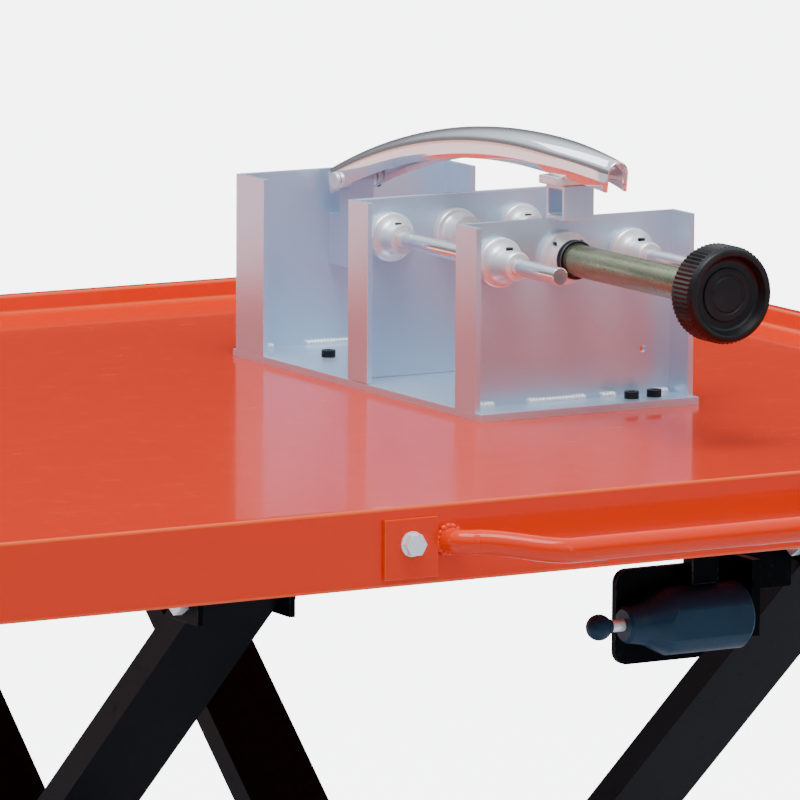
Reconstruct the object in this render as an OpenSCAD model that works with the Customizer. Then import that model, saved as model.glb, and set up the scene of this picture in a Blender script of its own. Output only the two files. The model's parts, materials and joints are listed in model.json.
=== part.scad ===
// Hand-operated bench bender: a clamping head on an orange tray table.
// Millimetres, +Z up, origin on the floor under the middle of the table.

/* [Table] */
// Width of the tray, left to right
tray_w = 1006; // [960:2:1100]
// Depth of the tray, front to back
tray_d = 952; // [900:2:1000]
// Height of the deck above the floor
deck_z = 780; // [760:1:800]
// Height of the tray's rim above the deck
lip_h = 13; // [8:0.5:16]
// Depth of the tray's skirt below the deck
skirt_h = 37; // [32:1:44]
// Width of the folded top of the rim
rim_w = 12; // [9:1:16]
// Thickness of the tray's sheet
sheet_t = 3; // [2:0.5:3]

/* [Clamping head] */
// Width of the three posts
post_w = 172; // [168:1:184]
// Height of the three posts
post_h = 125; // [120:1:130]
// Thickness of the post plate
post_t = 4; // [3:0.5:5]
// Depth of the front post and of the sliding jaw
post_depth = 27; // [26:1:30]
// Depth of the rear post
rear_depth = 40; // [38:1:44]
// Distance from one post's front edge to the next
post_pitch = 146; // [140:1:150]
// Thickness of the base plate
base_t = 5; // [4:0.5:6]
// Height of the screw and the guide rods above the deck
screw_h = 103; // [98:1:106]
// Distance from the posts' left side to the screw
screw_x = 82; // [78:1:88]
// Distance from the screw to each guide rod
rod_offset = 52; // [50:1:54]

/* [Spindle] */
// Diameter of the guide rods
rod_d = 12; // [10:1:14]
// Diameter of the clamping screw
screw_d = 16; // [14:1:17]
// Diameter of the turning sleeve
sleeve_d = 22; // [21:1:24]
// Diameter of the handwheel
wheel_d = 65; // [60:1:76]
// Thickness of the handwheel
wheel_t = 26; // [22:1:28]
// Distance from the front post's edge to the handwheel's face
wheel_reach = 190; // [180:1:200]
// Radial clearance of the turning and sliding fits
run_gap = 0.05; // [0.02:0.01:0.1]

/* [Lever] */
// Radius of the lever's curve
lever_r = 700; // [650:10:750]
// Width of the lever
lever_w = 32; // [30:1:34]
// Height of the lever's side walls
lever_wall = 13; // [11:1:14]
// Height of the lever's rounded crown
lever_crown = 8; // [6:1:9]
// Thickness of the lever's sheet
lever_t = 2; // [1.5:0.5:2.5]

/* [Handle] */
// Distance from the rim to the middle of the handle bar
handle_out = 45; // [40:1:60]
// Diameter of the handle bar
handle_d = 16; // [14:1:18]
// Distance between the handle's two bolts
handle_span = 352; // [320:2:400]

/* [Stand] */
// Width of each leg, left to right
leg_w = 60; // [50:1:60]
// Thickness of each leg
leg_t = 19; // [16:1:26]
// Diameter of the foot tubes
foot_d = 32; // [30:1:34]

/* [Hidden] */
$fn = 48;
eps = 1;

// Colours of the finishes
orange = [0.87, 0.27, 0.06];
alloy = [0.72, 0.75, 0.78];
steel = [0.78, 0.79, 0.80];
gold = [0.62, 0.56, 0.32];
ink = [0.04, 0.04, 0.05];
blue = [0.05, 0.17, 0.26];

// Table: edges of the tray and of the skirt
table_y = tray_d + handle_out + handle_d / 2;
tray_front = table_y / 2 - tray_d;
tray_back = table_y / 2;
skin = 2.5;
skirt_z = deck_z - skirt_h;
under_z = deck_z - sheet_t;

// Head: left front corner of the posts on the deck
head_x = 75;
head_y = tray_front + 345;
ledge = 8;
web_y = post_depth - post_t;
jaw_y = post_pitch;
jaw_web = jaw_y + web_y;
rear_y = 2 * post_pitch;
rear_web = rear_y + rear_depth - post_t;
jaw_lift = 0.3;

// Bushes, collars and their screws
flange_r = 17;
flange_t = 6;
neck_r = 10;
neck_l = 22;
collar_neck_l = 14;
grub_r = 2.5;
rod_x = [screw_x - rod_offset, screw_x + rod_offset];
rod_front = -59;
screw_tip = -70;
sleeve_back = web_y + post_t + 9;
sleeve_wall = (sleeve_d - screw_d) / 2;
wheel_back = wheel_t - wheel_reach;
ring_r = 13.5;
ring_gap = 0.3;

// Lever: centre of its curve, pivot and ends, in the head's own frame
arc_y = 61;
arc_z = 184 - lever_r;
crown_r = ((lever_w / 2) ^ 2 + lever_crown ^ 2) / (2 * lever_crown);
wall_r = lever_r - lever_crown;
pin_r = 4;
pivot_a = 69.2;
pivot_radius = wall_r - 7;
pivot_y = arc_y + pivot_radius * cos(pivot_a);
pivot_z = arc_z + pivot_radius * sin(pivot_a);
lever_a0 = 68.1;
lever_a1 = 98.9;
lug_w = 18;
lug_r = 8.5;

// Stand: pivots of the crossed legs
leg_front = tray_front + 65;
leg_back = tray_back - 62;
top_z = deck_z - 45;
foot_z = 19;
foot_r = foot_d / 2;
leg_run = leg_back - leg_front;
leg_rise = top_z - foot_z;
leg_len = norm([leg_run, leg_rise]);
leg_angle = atan(leg_rise / leg_run);
leg_wall = 2;
leg_gap = 62;
front_leg_x = [-296, 158];
rear_leg_x = [front_leg_x[0] + leg_w + leg_gap, front_leg_x[1] - leg_w - leg_gap];
cross_y = (leg_front + leg_back) / 2;
cross_z = (top_z + foot_z) / 2;
ear_t = 4;

// Lock unit under the front edge, in its own frame
lock_x = 75;
lock_y = tray_front + 60;
lock_axis = -88;
plunge_r = 4;
ball_r = 8.5;
ball_flat = 6.5;
ball_x = -76;

module at_head() {
  translate([head_x, head_y, deck_z]) children();
}

module at_lock() {
  translate([lock_x, lock_y, deck_z]) children();
}

// A round bar along Y, from y0 to y1
module bar_y(r, y0, y1) {
  translate([0, y0, 0]) rotate([-90, 0, 0]) cylinder(r = r, h = y1 - y0);
}

// A round bar along X, from x0 to x1
module bar_x(r, x0, x1) {
  translate([x0, 0, 0]) rotate([0, 90, 0]) cylinder(r = r, h = x1 - x0);
}

// A hexagon-headed screw standing along +Z, its head above the origin
module hex_screw(r, flats, head, length) {
  cylinder(r = flats / sqrt(3), h = head, $fn = 6);
  translate([0, 0, -length]) cylinder(r = r, h = length + eps / 2);
}

// A socket-headed screw standing along +Z, its head above the origin
module cap_screw(r, head_r, head, length) {
  difference() {
    union() {
      cylinder(r = head_r, h = head);
      translate([0, 0, -length]) cylinder(r = r, h = length + eps / 2);
    }
    translate([0, 0, head / 2]) cylinder(r = r * 0.9, h = head, $fn = 6);
  }
}

// A folded plate post, open to the front and at both ends
module channel_post(depth, height) {
  difference() {
    cube([post_w, depth, height]);
    translate([post_t, -eps, -eps])
      cube([post_w - 2 * post_t, depth - post_t + eps, height + 2 * eps]);
  }
}

// Tray: a flat deck between four folded rims
module tray_deck() {
  color(orange) difference() {
    translate([skin - tray_w / 2, tray_front + skin, under_z])
      cube([tray_w - 2 * skin, tray_d - 2 * skin, sheet_t]);
    for (p = base_bolt_at)
      translate([head_x + p[0], head_y + p[1], under_z - eps])
        cylinder(r = base_hole_r, h = sheet_t + 2 * eps);
  }
}

module rim_profile() {
  polygon([
    [0, -skirt_h], [skin, -skirt_h], [skin, lip_h - skin], [rim_w - skin, lip_h - skin],
    [rim_w - skin, 0], [rim_w, 0], [rim_w, lip_h], [0, lip_h]
  ]);
}

// A rim along X, its outer face at y = 0 and facing -Y
module rim_along(length) {
  rotate([90, 0, 90]) linear_extrude(height = length) rim_profile();
}

module rim_front() {
  color(orange) difference() {
    translate([-tray_w / 2, tray_front, deck_z]) rim_along(tray_w);
    for (s = [-1, 1])
      translate([s * handle_span / 2, tray_front, deck_z + handle_bolt_z])
        bar_y(handle_hole_r, -eps, skin + eps);
  }
}

module rim_rear() {
  color(orange) translate([tray_w / 2, tray_back, deck_z]) rotate([0, 0, 180]) rim_along(tray_w);
}

module rim_left() {
  color(orange)
    translate([-tray_w / 2, tray_back - rim_w, deck_z]) rotate([0, 0, -90])
      rim_along(tray_d - 2 * rim_w);
}

module rim_right() {
  color(orange)
    translate([tray_w / 2, tray_front + rim_w, deck_z]) rotate([0, 0, 90])
      rim_along(tray_d - 2 * rim_w);
}

module tray_stiffeners() {
  rib_w = 30;
  rib_h = 18;
  rib_gap = 40;
  for (x = [-430, -60, 430])
    color(orange) translate([x - rib_w / 2, tray_front + rib_gap, under_z - rib_h])
      difference() {
        cube([rib_w, tray_d - 2 * rib_gap, rib_h]);
        translate([skin, -eps, -eps])
          cube([rib_w - 2 * skin, tray_d, rib_h - skin + eps]);
      }
}

// Handle: a bowed tube whose ends turn in and are welded to the front rim, beside two bolted tabs
handle_bolt_z = -10;
handle_hole_r = 4.3;
tab_w = 38;
tab_t = 3;
bow_run = 88;
stub_in = 28;

module handle_bar() {
  end_x = handle_span / 2;
  drop = -5;
  stub_y = -14;
  color(orange) translate([0, tray_front, deck_z + handle_bolt_z]) {
    translate([0, -handle_out, drop]) bar_x(handle_d / 2, bow_run - end_x, end_x - bow_run);
    for (s = [-1, 1]) {
      translate([s * (end_x - bow_run), -handle_out, drop]) sphere(d = handle_d);
      hull() {
        translate([s * (end_x - bow_run), -handle_out, drop]) sphere(d = handle_d, $fn = 32);
        translate([s * (end_x - stub_in), stub_y, 0]) sphere(d = handle_d, $fn = 32);
      }
      translate([s * (end_x - stub_in), 0, 0]) bar_y(handle_d / 2, stub_y, 0);
    }
  }
}

module handle_tabs() {
  for (s = [-1, 1])
    color(orange) translate([s * handle_span / 2, tray_front, deck_z + handle_bolt_z])
      difference() {
        translate([-tab_w / 2, -tab_t, -22]) cube([tab_w, tab_t, tab_w]);
        bar_y(handle_hole_r, -tab_t - eps, eps);
      }
}

module handle_bolts() {
  washer_t = 1.5;
  for (s = [-1, 1])
    color(steel)
      translate([s * handle_span / 2, tray_front - tab_t, deck_z + handle_bolt_z])
        rotate([90, 0, 0]) {
          cylinder(r = 8, h = washer_t);
          translate([0, 0, washer_t]) hex_screw(4, 13, 5.3, 18);
        }
}

module handle_nuts() {
  for (s = [-1, 1])
    color(steel) translate([s * handle_span / 2, tray_front, deck_z + handle_bolt_z])
      difference() {
        translate([0, skin, 0]) rotate([-90, 0, 0]) cylinder(r = 13 / sqrt(3), h = 6.5, $fn = 6);
        bar_y(4 + run_gap, 0, 12);
      }
}

// Base plate and its bolts
base_bolt_at = [[128, 8], [146, 8], [40, 48], [132, 48], [40, 270], [132, 270]];
base_hole_r = 3.3;

module base_plate() {
  color(alloy) at_head() difference() {
    translate([0, -ledge, 0]) cube([post_w, rear_y + rear_depth + ledge / 2 + ledge, base_t]);
    for (p = base_bolt_at)
      translate([p[0], p[1], -eps]) cylinder(r = base_hole_r, h = base_t + 2 * eps);
  }
}

module base_bolts() {
  for (p = base_bolt_at)
    color(steel) at_head() translate([p[0], p[1], base_t]) cap_screw(3, 5, 5, 18);
}

module base_nuts() {
  for (p = base_bolt_at)
    color(steel) at_head() translate([p[0], p[1], -sheet_t - 5]) difference() {
      cylinder(r = 10 / sqrt(3), h = 5, $fn = 6);
      translate([0, 0, -eps]) cylinder(r = 3 + run_gap, h = 5 + 2 * eps);
    }
}

// Fixed posts
module front_post() {
  spigot_r = 9.1;
  hole_r = 2.5;
  color(alloy) at_head() difference() {
    translate([0, 0, base_t]) channel_post(post_depth, post_h);
    for (x = rod_x)
      translate([x, 0, screw_h]) bar_y(spigot_r, web_y - eps, post_depth + eps);
    translate([screw_x, 0, screw_h]) bar_y(sleeve_d / 2 + 0.4, web_y - eps, post_depth + eps);
    for (a = [45, 135, 225, 315])
      translate([screw_x + 14 * cos(a), 0, screw_h + 14 * sin(a)])
        bar_y(1.5, web_y - eps, post_depth + eps);
    translate([146, 0, 36]) bar_y(hole_r, web_y - eps, post_depth + eps);
  }
}

module rear_post() {
  color(alloy) at_head() translate([0, rear_y, base_t]) difference() {
    channel_post(rear_depth, post_h);
    for (z = lug_screw_z)
      translate([screw_x, 0, z - base_t]) bar_y(3.2, rear_depth - post_t - eps, rear_depth + eps);
  }
}

// Fillet welds at the feet of the fixed posts and of the rest block
module fillet(length, leg) {
  rotate([90, 0, 90]) linear_extrude(height = length) polygon([[0, 0], [-leg, 0], [0, leg]]);
}

module post_welds() {
  weld = 4;
  color(steel) at_head() {
    translate([post_t + 2, web_y, base_t]) fillet(post_w - 2 * post_t - 4, weld);
    translate([post_t + 2, rear_web, base_t]) fillet(post_w - 2 * post_t - 4, weld);
  }
}

// Guide bushes pressed into the front post
module guide_bushes() {
  for (x = rod_x)
    color(steel) at_head() translate([x, 0, screw_h]) difference() {
      union() {
        bar_y(flange_r, web_y - flange_t, web_y);
        bar_y(neck_r, web_y - flange_t - neck_l, web_y - flange_t + eps);
        bar_y(9, web_y - eps, post_depth);
      }
      bar_y(rod_d / 2 + run_gap, -neck_l, post_depth + eps);
      translate([0, grub_y, 0]) cylinder(r = grub_r, h = flange_r);
    }
}

grub_y = 7;

module bush_screws() {
  for (x = rod_x)
    color(ink) at_head() translate([x, grub_y, screw_h + rod_d / 2 + 0.6]) difference() {
      cylinder(r = grub_r - run_gap, h = 5);
      translate([0, 0, 2]) cylinder(r = 1.4, h = 5, $fn = 6);
    }
}

// Flange that the turning sleeve runs in, with its four screws
module thrust_flange() {
  color(steel) at_head() translate([screw_x, 0, screw_h]) difference() {
    union() {
      bar_y(flange_r + 1, web_y - flange_t, web_y);
      bar_y(flange_r - 3.6, web_y - flange_t - 7, web_y - flange_t + eps);
    }
    bar_y(sleeve_d / 2 + run_gap, 0, web_y + eps);
    for (a = [45, 135, 225, 315])
      translate([14.9 * cos(a), 0, 14.9 * sin(a)]) bar_y(1.5, 0, web_y + eps);
  }
}

module flange_screws() {
  for (a = [45, 135, 225, 315])
    color(ink) at_head()
      translate([screw_x + 14.9 * cos(a), web_y - flange_t, screw_h + 14.9 * sin(a)])
        rotate([90, 0, 0]) cylinder(r = 1.2, h = 1.2);
}

// Sliding jaw: post, rods and screw move together
module jaw_post() {
  color(alloy) at_head() translate([0, jaw_y, base_t + jaw_lift]) difference() {
    channel_post(post_depth, post_h - jaw_lift);
    for (x = rod_x)
      translate([x, 0, screw_h - base_t - jaw_lift]) bar_y(rod_d / 2 + run_gap, 0, post_depth + eps);
    translate([screw_x, 0, screw_h - base_t - jaw_lift])
      bar_y(screw_d / 2 + run_gap, 0, post_depth + eps);
  }
}

module guide_rods() {
  for (x = rod_x)
    color(steel) at_head() translate([x, 0, screw_h]) bar_y(rod_d / 2, rod_front, jaw_y + post_depth);
}

module jaw_screw() {
  color(steel) at_head() translate([screw_x, 0, screw_h])
    bar_y(screw_d / 2, screw_tip, jaw_y + post_depth);
}

module collar(bore_r, outer_r) {
  difference() {
    union() {
      bar_y(flange_r, jaw_web - flange_t, jaw_web);
      bar_y(outer_r, jaw_web - flange_t - collar_neck_l, jaw_web - flange_t + eps);
    }
    bar_y(bore_r, jaw_y - collar_neck_l, jaw_web + eps);
    translate([0, jaw_grub_y, 0]) cylinder(r = grub_r, h = flange_r);
  }
}

jaw_grub_y = jaw_web - flange_t - collar_neck_l / 2;

module rod_collars() {
  color(steel) at_head() {
    for (x = rod_x)
      translate([x, 0, screw_h]) collar(rod_d / 2 + run_gap, neck_r);
    translate([screw_x, 0, screw_h]) collar(screw_d / 2 + run_gap, neck_r + 3);
  }
}

module collar_screws() {
  at = [[rod_x[0], rod_d], [screw_x, screw_d], [rod_x[1], rod_d]];
  for (p = at)
    color(ink) at_head() translate([p[0], jaw_grub_y, screw_h + p[1] / 2 + 0.3]) difference() {
      cylinder(r = grub_r - run_gap, h = 4.4);
      translate([0, 0, 2]) cylinder(r = 1.4, h = 5, $fn = 6);
    }
}

// Spindle: sleeve, rings and handwheel turn together
wheel_seat = 12;
dish_h = 7;
seat_h = 2.2;
wheel_screw_r = 3;
screw_depth = 10;

module sleeve() {
  bore_end = wheel_back + 14;
  front = wheel_back - wheel_seat;
  color(gold) at_head() translate([screw_x, 0, screw_h]) difference() {
    bar_y(sleeve_d / 2, front, sleeve_back);
    bar_y(screw_d / 2 + run_gap, bore_end, sleeve_back + eps);
    bar_y(wheel_screw_r + run_gap, front - eps, front + screw_depth);
  }
}

module ring(y0, y1) {
  color(ink) at_head() translate([screw_x, 0, screw_h]) difference() {
    bar_y(ring_r, y0, y1);
    bar_y(sleeve_d / 2 + run_gap, y0 - eps, y1 + eps);
  }
}

module thrust_ring() {
  face = web_y - flange_t - 7 - ring_gap;
  ring(face - 5, face);
}

module retaining_ring() {
  ring(post_depth + ring_gap, post_depth + ring_gap + 5);
}

// Handwheel: drum with a dished face and a seat for the sleeve
module handwheel() {
  wheel_r = wheel_d / 2;
  dish_r = wheel_r - 6;
  floor_h = wheel_t - dish_h;
  round_r = 3;
  color(ink) at_head() translate([screw_x, wheel_back, screw_h]) rotate([90, 0, 0]) difference() {
    rotate_extrude() polygon([
      [0, 0], [wheel_r - round_r, 0], [wheel_r, round_r], [wheel_r, wheel_t - round_r],
      [wheel_r - round_r, wheel_t], [dish_r, wheel_t], [dish_r - 3, floor_h], [0, floor_h]
    ]);
    translate([0, 0, -eps]) cylinder(r = sleeve_d / 2 + run_gap, h = wheel_seat + eps);
    translate([0, 0, wheel_seat - eps]) cylinder(r = wheel_screw_r + 0.2, h = wheel_t);
    translate([0, 0, floor_h - seat_h]) cylinder(r = wheel_screw_r + 2.8, h = wheel_t);
  }
}

// Round cap that covers the screw in the middle of the handwheel
module wheel_cap() {
  cap_r = 18;
  cap_t = 1.6;
  color(ink) at_head() translate([screw_x, wheel_back - wheel_t + dish_h, screw_h])
    bar_y(cap_r, -cap_t, 0);
}

module wheel_screw() {
  head_h = 2;
  reach = wheel_t - dish_h - seat_h - wheel_seat + screw_depth - 1;
  color(steel) at_head() translate([screw_x, wheel_back - wheel_t + dish_h + seat_h, screw_h])
    rotate([90, 0, 0]) cap_screw(wheel_screw_r, 5.5, head_h, reach);
}

// Lever: a curved channel with a rounded crown
module lever_section(half, crown, low) {
  intersection() {
    translate([-half, low]) square([2 * half, lever_crown + lever_wall + 20]);
    union() {
      translate([0, lever_crown - crown_r]) circle(r = crown, $fn = 96);
      translate([-half, low]) square([2 * half, -low - (crown < crown_r ? 0.8 : 0)]);
    }
  }
}

module lever() {
  half = lever_w / 2;
  color(steel) at_head() difference() {
    translate([screw_x, arc_y, arc_z]) rotate([90, 0, 90]) rotate([0, 0, lever_a0])
      rotate_extrude(angle = lever_a1 - lever_a0, $fn = 360)
        translate([wall_r, 0]) rotate(-90) difference() {
          lever_section(half, crown_r, -lever_wall);
          lever_section(half - lever_t, crown_r - lever_t, -lever_wall - eps);
        }
    translate([0, pivot_y, pivot_z]) bar_x(pin_r + run_gap, screw_x - half - eps, screw_x + half + eps);
  }
}

// Lever bracket: a tongue that stands in front of the rear post's web
lug_screw_z = [72, 88];

module lever_bracket() {
  color(alloy) at_head() difference() {
    translate([screw_x - lug_w / 2, 0, 0]) union() {
      translate([0, pivot_y, pivot_z]) bar_x(lug_r, 0, lug_w);
      translate([0, pivot_y - lug_r, 62]) cube([lug_w, 2 * lug_r, pivot_z - 62]);
      translate([0, pivot_y, 62]) cube([lug_w, rear_web - pivot_y, 36]);
    }
    translate([0, pivot_y, pivot_z]) bar_x(pin_r + run_gap, screw_x - lug_w, screw_x + lug_w);
    for (z = lug_screw_z)
      translate([screw_x, 0, z]) bar_y(3 + run_gap, rear_web - 12, rear_web + eps);
  }
}

module bracket_screws() {
  for (z = lug_screw_z)
    color(steel) at_head() translate([screw_x, rear_web + post_t, z])
      rotate([-90, 0, 0]) cap_screw(3, 5, 5, post_t + 11);
}

module lever_pin() {
  reach = lever_w / 2 + 0.3;
  color(steel) at_head() translate([screw_x, pivot_y, pivot_z]) {
    bar_x(pin_r, -reach - 1, reach + 4);
    bar_x(6, -reach - 3, -reach);
  }
}

module lever_spacers() {
  inner = lug_w / 2;
  outer = lever_w / 2 - lever_t - 0.3;
  color(steel) at_head() translate([screw_x, pivot_y, pivot_z]) difference() {
    union() {
      bar_x(5.3, inner, outer);
      bar_x(5.3, -outer, -inner);
    }
    bar_x(pin_r + run_gap, -lever_w, lever_w);
  }
}

module pin_clip() {
  reach = lever_w / 2 + 0.3;
  color(ink) at_head() translate([screw_x, pivot_y, pivot_z]) difference() {
    bar_x(6.5, reach, reach + 1.2);
    bar_x(pin_r + run_gap, 0, lever_w);
  }
}

// Block and pad that hold the lever up
block = 24;
block_z = base_t + post_h;

module rest_block() {
  wall = 3;
  color(alloy) at_head() translate([screw_x - block / 2, post_depth - block, block_z]) difference() {
    cube([block, block, block]);
    translate([-eps, wall, wall]) cube([block + 2 * eps, block - 2 * wall, block - 2 * wall]);
  }
}

module rest_pad() {
  pad_front = post_depth - block;
  wall_low = arc_z + sqrt((wall_r - lever_wall) ^ 2 - (arc_y - pad_front) ^ 2);
  color(steel) at_head() translate([screw_x - 18, pad_front, block_z + block])
    cube([36, block, wall_low - 0.3 - block_z - block]);
}

// Stand: two crossed frames of flat tube
module leg_bar(over_top, over_foot, up) {
  length = leg_len + over_top - over_foot;
  rotate([-leg_angle * up, 0, 0]) translate([0, -over_top, -leg_t / 2]) difference() {
    cube([leg_w, length, leg_t]);
    translate([leg_wall, -eps, leg_wall])
      cube([leg_w - 2 * leg_wall, length + 2 * eps, leg_t - 2 * leg_wall]);
    for (y = [over_top, over_top + leg_len / 2])
      translate([0, y, leg_t / 2]) bar_x(6.1, -eps, leg_w + eps);
  }
}

module front_legs() {
  for (x = front_leg_x)
    color(ink) translate([x, leg_front, top_z]) leg_bar(16, foot_r + 0.2, 1);
}

module rear_legs() {
  for (x = rear_leg_x)
    color(ink) translate([x, leg_back, top_z]) mirror([0, 1, 0]) leg_bar(16, foot_r + 0.2, 1);
}

// Each leg's top: left edge and place along Y
leg_tops = [
  for (x = front_leg_x) [x, leg_front],
  for (x = rear_leg_x) [x, leg_back]
];

module leg_brackets() {
  ear_w = 40;
  gap = 0.5;
  for (p = leg_tops)
    color(ink) translate([p[0], p[1], 0]) difference() {
      union() {
        for (x = [-ear_t - gap, leg_w + gap])
          translate([x, -ear_w / 2, top_z - 14]) cube([ear_t, ear_w, under_z - top_z + 14]);
        translate([-ear_t - gap, -ear_w / 2, under_z - ear_t])
          cube([leg_w + 2 * ear_t + 2 * gap, ear_w, ear_t]);
      }
      translate([0, 0, top_z]) bar_x(5.2, -eps - ear_t - gap, leg_w + ear_t + gap + eps);
      for (x = bracket_bolt_x)
        translate([x, 0, under_z - ear_t - eps]) cylinder(r = 3.1, h = ear_t + 2 * eps);
    }
}

bracket_bolt_x = [12, leg_w - 12];

module bracket_bolts() {
  for (p = leg_tops, x = bracket_bolt_x)
    color(steel) translate([p[0] + x, p[1], under_z - ear_t]) mirror([0, 0, 1])
      hex_screw(3, 10, 4, ear_t - 0.1);
}

module leg_bolts() {
  reach = leg_w + ear_t + 0.5;
  for (p = leg_tops)
    color(steel) translate([p[0], p[1], top_z]) {
      bar_x(5, -ear_t - 1, reach + 9);
      translate([-ear_t - 0.5, 0, 0]) rotate([0, -90, 0]) cylinder(r = 17 / sqrt(3), h = 6.4, $fn = 6);
      translate([reach, 0, 0]) rotate([0, 90, 0]) cylinder(r = 17 / sqrt(3), h = 7, $fn = 6);
    }
}

// Bolts through the crossing of each pair of legs
pair_x = [
  [front_leg_x[0], rear_leg_x[0] + leg_w],
  [rear_leg_x[1], front_leg_x[1] + leg_w]
];

module pivot_bolts() {
  for (p = pair_x)
    color(steel) translate([0, cross_y, cross_z]) {
      bar_x(6, p[0] - 3, p[1] + 12);
      translate([p[0] - 9.5, 0, 0]) rotate([0, 90, 0]) cylinder(r = 19 / sqrt(3), h = 8, $fn = 6);
      translate([p[1] + 1.5, 0, 0]) rotate([0, 90, 0]) cylinder(r = 19 / sqrt(3), h = 9, $fn = 6);
    }
}

// Washers under the heads and nuts, and a spacer tube between each pair of legs
module pivot_washers() {
  rows = [
    for (p = pair_x) each [
      [p[0] - 1.5, 1.3], [p[1] + 0.1, 1.3], [(p[0] + p[1]) / 2 - leg_gap / 2 + 0.1, leg_gap - 0.2]
    ]
  ];
  for (q = rows)
    color(steel) translate([0, cross_y, cross_z]) difference() {
      bar_x(12, q[0], q[0] + q[1]);
      bar_x(6 + run_gap, q[0] - eps, q[0] + q[1] + eps);
    }
}

foot_x0 = front_leg_x[0] - 24;
foot_x1 = front_leg_x[1] + leg_w + 24;

module foot_tubes() {
  wall = 2.5;
  for (y = [leg_front, leg_back])
    color(ink) translate([0, y, foot_z]) difference() {
      bar_x(foot_r, foot_x0, foot_x1);
      bar_x(foot_r - wall, foot_x0 - eps, foot_x1 + eps);
    }
}

module rubber_feet() {
  sole = 26;
  for (y = [leg_front, leg_back], x = [foot_x0 - 2, foot_x1 + 2 - sole])
    color(ink) translate([0, y, foot_z]) difference() {
      bar_x(foot_z, x, x + sole);
      bar_x(foot_r + run_gap, x - eps, x + sole + eps);
    }
}

module foot_plugs() {
  depth = 12;
  lip = 2;
  plug_r = foot_r - 2.5 - run_gap;
  for (y = [leg_front, leg_back])
    color(ink) translate([0, y, foot_z]) {
      bar_x(plug_r, foot_x0 - lip, foot_x0 + depth);
      bar_x(plug_r, foot_x1 - depth, foot_x1 + lip);
    }
}

// Cross tubes between the inner legs, in the lower half of their length
module stretchers() {
  for (k = [0.6, 0.85])
    color(ink) translate([0, leg_back - leg_run * k, top_z - leg_rise * k])
      bar_x(10, rear_leg_x[0] + leg_w, rear_leg_x[1]);
}

// Lock unit: a hanger, a plate and a housing with a spring plunger
plate_back = 14;
plate_t = 5;
plate_front = plate_back - plate_t;
plate_x0 = -58;
plate_w = 70;
hanger_z = lock_axis + 22;
lock_screw_r = 2.5;
lock_screw_x = [-22, -4];
lock_screw_z = [-14, 14];

module lock_post() {
  color(ink) at_lock() translate([-8, plate_front - 12, hanger_z])
    cube([20, 12, -sheet_t - hanger_z]);
}

module lock_plate() {
  h = 62;
  corner = 9;
  color(ink) at_lock() difference() {
    translate([plate_x0, plate_back, lock_axis - 28]) rotate([90, 0, 0])
      linear_extrude(height = plate_t) union() {
        translate([corner, 0]) square([plate_w - 2 * corner, h]);
        translate([0, corner]) square([plate_w, h - 2 * corner]);
        for (x = [corner, plate_w - corner], y = [corner, h - corner])
          translate([x, y]) circle(r = corner);
      }
    for (x = lock_screw_x, z = lock_screw_z)
      translate([x, 0, lock_axis + z])
        bar_y(lock_screw_r + run_gap, plate_front - eps, plate_back + eps);
  }
}

// Arm from the plate to the right-hand leg's bracket, with a catch for the plunger
module lock_arm() {
  arm_x0 = 2;
  arm_x1 = front_leg_x[1] - lock_x - ear_t - 0.6;
  arm_t = 8;
  arm_h = 24;
  catch_x = 34;
  catch_t = 6;
  catch_y = -9;
  color(ink) at_lock() difference() {
    union() {
      translate([arm_x0, plate_back, lock_axis + 12]) cube([arm_x1 - arm_x0, arm_t, arm_h]);
      translate([catch_x, catch_y, lock_axis - 14])
        cube([catch_t, plate_back + arm_t - catch_y, 14 + 12 + arm_h]);
    }
    translate([0, 0, lock_axis]) bar_x(plunge_r + 0.4, catch_x - eps, catch_x + catch_t + eps);
  }
}

module lock_housing() {
  length = 88;
  big_r = 22;
  small_r = 12;
  color(blue) at_lock() translate([30 - length, 0, lock_axis]) rotate([0, 90, 0]) difference() {
    intersection() {
      rotate_extrude() polygon([
        [0, 0], [small_r - 2, 0], [small_r, 2], [small_r + 2, 14], [big_r, 30],
        [big_r, length - 3], [big_r - 3, length], [0, length]
      ]);
      translate([-big_r, -20, -eps]) cube([2 * big_r, 29, length + 2 * eps]);
    }
    translate([0, 0, -eps]) cylinder(r = plunge_r + run_gap, h = length + 2 * eps);
    translate([0, 0, length - 30 + spring_x0]) cylinder(r = spring_r + 0.5, h = 43);
    for (x = lock_screw_x, z = lock_screw_z)
      translate([-z, 0, length - 30 + x]) bar_y(lock_screw_r + run_gap, 0, plate_front + eps);
  }
}

spring_r = 6.5;
spring_x0 = -28;
spring_x1 = 8;

// Hexagon screws through the plate's back into the housing
module lock_screws() {
  for (x = lock_screw_x, z = lock_screw_z)
    color(steel) at_lock() translate([x, plate_back, lock_axis + z]) rotate([-90, 0, 0])
      hex_screw(lock_screw_r, 8, 3.5, plate_t + 7);
}

module lock_plunger() {
  color(steel) at_lock() translate([0, 0, lock_axis]) {
    bar_x(plunge_r, ball_x + ball_flat, 39);
    bar_x(spring_r - 0.3, spring_x1, spring_x1 + 3);
  }
}

// Ball grip with a flat where the plunger's end meets it
module plunger_ball() {
  color(blue) at_lock() translate([ball_x, 0, lock_axis]) rotate([0, 90, 0])
    rotate_extrude() intersection() {
      circle(r = ball_r);
      translate([0, -ball_r]) square([ball_r, ball_r + ball_flat]);
    }
}

module lock_spring() {
  turns = 7;
  wire_r = 0.8;
  step = (spring_x1 - spring_x0 - 2 * wire_r - 0.4) / (turns - 1);
  for (k = [0:turns - 1])
    color(steel) at_lock()
      translate([spring_x0 + wire_r + 0.2 + k * step, 0, lock_axis]) rotate([0, 90, 0])
        rotate_extrude() translate([spring_r - wire_r - 0.2, 0]) circle(r = wire_r, $fn = 16);
}

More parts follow.
